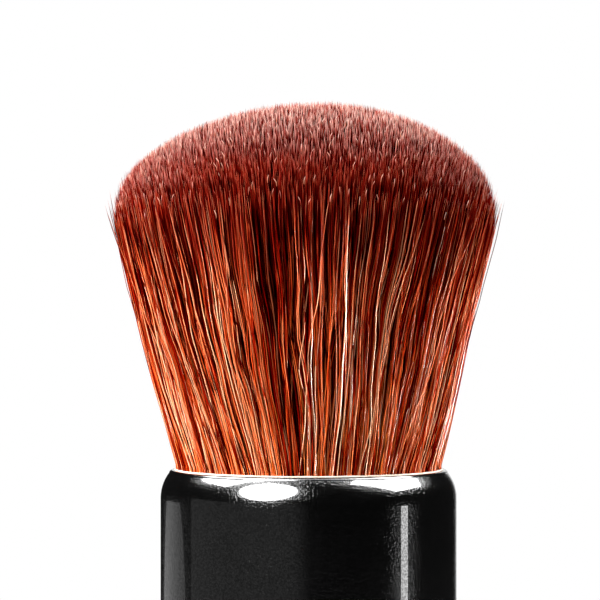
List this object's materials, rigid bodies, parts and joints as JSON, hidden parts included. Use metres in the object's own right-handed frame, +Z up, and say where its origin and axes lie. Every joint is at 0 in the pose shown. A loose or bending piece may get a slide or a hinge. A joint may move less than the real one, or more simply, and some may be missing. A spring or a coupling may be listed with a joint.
{
  "type": "kabuki makeup brush",
  "caption": "Short, wide powder brush that stands on its weighted base, with a dense flared bristle head and a rounded top for blending powder.",
  "frame": {"origin": "centre of the flat base that the brush stands on", "axes": "+Z up along the brush's own axis, from the base to the top of the bristles; +X to the right and -Y towards the viewer in the picture"},
  "size_m": [0.0389, 0.0388, 0.0716],
  "materials": {
    "bristle": "soft hair, orange-brown at the roots, dark red-brown above, paler pink-brown at the tips",
    "band_rubber": "natural latex band",
    "resin": "cast amber resin",
    "cup_plastic": "moulded, unpolished",
    "black_lacquer": "black lacquer on drawn aluminium, high gloss",
    "black_gloss_plastic": "black, high gloss",
    "weight_steel": "turned steel",
    "base_plastic": "black, finely grained"
  },
  "bodies": {
    "root": {"bristle_tuft": "bristle", "root_band": "band_rubber", "resin_plug": "resin", "tuft_cup": "cup_plastic", "ferrule": "black_lacquer", "handle": "black_gloss_plastic", "weight": "weight_steel", "base_cap": "base_plastic"}
  },
  "joints": []
}
